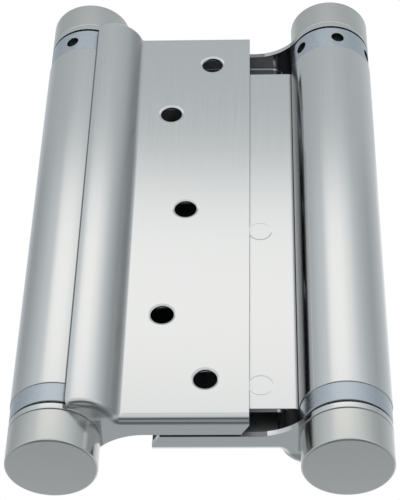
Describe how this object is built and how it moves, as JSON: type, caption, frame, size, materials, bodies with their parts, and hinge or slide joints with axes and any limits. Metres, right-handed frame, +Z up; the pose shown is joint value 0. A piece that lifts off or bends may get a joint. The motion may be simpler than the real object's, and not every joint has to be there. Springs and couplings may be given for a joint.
{
  "type": "double action spring hinge",
  "caption": "Double action spring hinge for a swing door: a sheet web rolled into a spring barrel at each side, and a screw leaf hung on each barrel.",
  "frame": {"origin": "on the floor under the lower caps, midway between the two barrels", "axes": "+Z up along the barrels, +X from the left barrel to the right one, the front leaf faces -Y"},
  "size_m": [0.0874, 0.0246, 0.15],
  "materials": {
    "polished_stainless": "polished",
    "brushed_stainless": "satin",
    "zinc_plated_steel": "satin, blue zinc",
    "bright_steel": "ground",
    "spring_steel": "oiled, dark",
    "nylon": "moulded"
  },
  "bodies": {
    "web": {"centre_web": "polished_stainless", "left_fixed_collar": "zinc_plated_steel", "left_bottom_bush": "nylon", "left_torsion_spring": "spring_steel", "right_fixed_collar": "zinc_plated_steel", "right_bottom_bush": "nylon", "right_torsion_spring": "spring_steel"},
    "front_leaf": {"front_leaf": "polished_stainless", "left_spindle": "bright_steel", "left_bottom_cap": "brushed_stainless", "left_top_cap": "brushed_stainless", "left_bottom_washer": "bright_steel", "left_top_washer": "bright_steel"},
    "back_leaf": {"back_leaf": "polished_stainless", "right_spindle": "bright_steel", "right_bottom_cap": "brushed_stainless", "right_top_cap": "brushed_stainless", "right_bottom_washer": "bright_steel", "right_top_washer": "bright_steel"},
    "left_collar": {"left_adjusting_collar": "zinc_plated_steel", "left_top_bush": "nylon"},
    "right_collar": {"right_adjusting_collar": "zinc_plated_steel", "right_top_bush": "nylon"}
  },
  "joints": [
    {"name": "front_leaf_swing", "type": "hinge", "parent": "web", "child": "front_leaf", "pos_m": [-0.033, 0, 0], "axis": [0, 0, 1], "range_deg": [-110, 0], "stiffness_Nm_per_rad": 0.8},
    {"name": "left_collar_turn", "type": "hinge", "parent": "web", "child": "left_collar", "pos_m": [-0.033, 0, 0.135], "axis": [0, 0, 1], "range_deg": [-180, 0], "deforming": ["left_torsion_spring"]},
    {"name": "back_leaf_swing", "type": "hinge", "parent": "web", "child": "back_leaf", "pos_m": [0.033, 0, 0], "axis": [0, 0, 1], "range_deg": [-110, 0], "stiffness_Nm_per_rad": 0.8},
    {"name": "right_collar_turn", "type": "hinge", "parent": "web", "child": "right_collar", "pos_m": [0.033, 0, 0.135], "axis": [0, 0, 1], "range_deg": [-180, 0], "deforming": ["right_torsion_spring"]}
  ]
}
